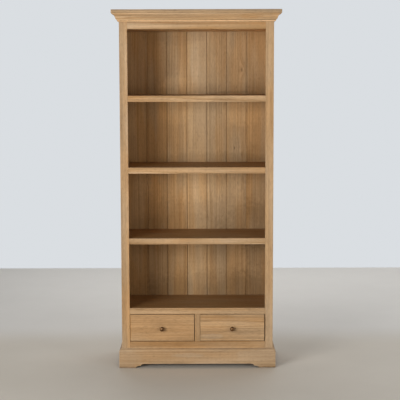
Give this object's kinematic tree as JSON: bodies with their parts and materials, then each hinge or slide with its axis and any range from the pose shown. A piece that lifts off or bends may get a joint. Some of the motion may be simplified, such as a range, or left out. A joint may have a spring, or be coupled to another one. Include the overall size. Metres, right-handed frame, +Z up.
{
  "type": "bookcase with bottom drawers",
  "caption": "Tall open wooden bookcase with fixed shelves, moulded cornice, planked back, bracket plinth and dovetailed drawers side by side at the bottom.",
  "frame": {"origin": "on the floor, under the middle of the overall box", "axes": "+X to the right seen from the front, +Y from the front to the back, +Z up"},
  "size_m": [0.886, 0.419, 1.9],
  "materials": {
    "face_wood": "light brown waxed solid wood, satin, long straight grain",
    "moulding_wood": "light brown waxed solid wood, satin, moulded",
    "shelf_wood": "waxed solid wood, satin",
    "back_wood": "waxed planks with vee joints, small knots",
    "drawer_wood": "plain planed wood, unfinished",
    "knob_bronze": "dark antique bronze, satin with worn highlights",
    "screw_steel": "plain steel"
  },
  "bodies": {
    "carcass": {"side_panel_left": "face_wood", "side_panel_right": "face_wood", "stile_left": "face_wood", "stile_right": "face_wood", "top_rail": "face_wood", "drawer_rail": "face_wood", "bottom_rail": "face_wood", "drawer_muntin": "face_wood", "shelf_rail_1": "face_wood", "shelf_rail_2": "face_wood", "shelf_rail_3": "face_wood", "base_board": "shelf_wood", "compartment_floor": "shelf_wood", "shelf_1": "shelf_wood", "shelf_2": "shelf_wood", "shelf_3": "shelf_wood", "ceiling_panel": "shelf_wood", "drawer_divider": "shelf_wood", "drawer_guide_left": "drawer_wood", "outer_kicker_left": "drawer_wood", "inner_kicker_left": "drawer_wood", "drawer_guide_right": "drawer_wood", "outer_kicker_right": "drawer_wood", "inner_kicker_right": "drawer_wood", "drawer_stop_left": "drawer_wood", "drawer_stop_right": "drawer_wood", "back_plank_1": "back_wood", "back_plank_2": "back_wood", "back_plank_3": "back_wood", "back_plank_4": "back_wood", "back_plank_5": "back_wood", "back_plank_6": "back_wood", "back_plank_7": "back_wood", "back_rail": "back_wood", "top_board": "moulding_wood", "cornice_front": "moulding_wood", "cornice_left": "moulding_wood", "cornice_right": "moulding_wood", "plinth_front": "moulding_wood", "plinth_left": "moulding_wood", "plinth_right": "moulding_wood", "corner_block_front_left": "drawer_wood", "corner_block_front_right": "drawer_wood", "corner_block_back_left": "drawer_wood", "corner_block_back_right": "drawer_wood"},
    "drawer_left": {"left_drawer_front": "face_wood", "left_drawer_side_left": "drawer_wood", "left_drawer_side_right": "drawer_wood", "left_drawer_back": "drawer_wood", "left_drawer_bottom": "drawer_wood", "left_drawer_knob": "knob_bronze", "left_drawer_knob_screw": "screw_steel"},
    "drawer_right": {"right_drawer_front": "face_wood", "right_drawer_side_left": "drawer_wood", "right_drawer_side_right": "drawer_wood", "right_drawer_back": "drawer_wood", "right_drawer_bottom": "drawer_wood", "right_drawer_knob": "knob_bronze", "right_drawer_knob_screw": "screw_steel"}
  },
  "joints": [
    {"name": "drawer_left_slide", "type": "slide", "parent": "carcass", "child": "drawer_left", "axis": [0, -1, 0], "range_m": [0, 0.27]},
    {"name": "drawer_right_slide", "type": "slide", "parent": "carcass", "child": "drawer_right", "axis": [0, -1, 0], "range_m": [0, 0.27]}
  ]
}
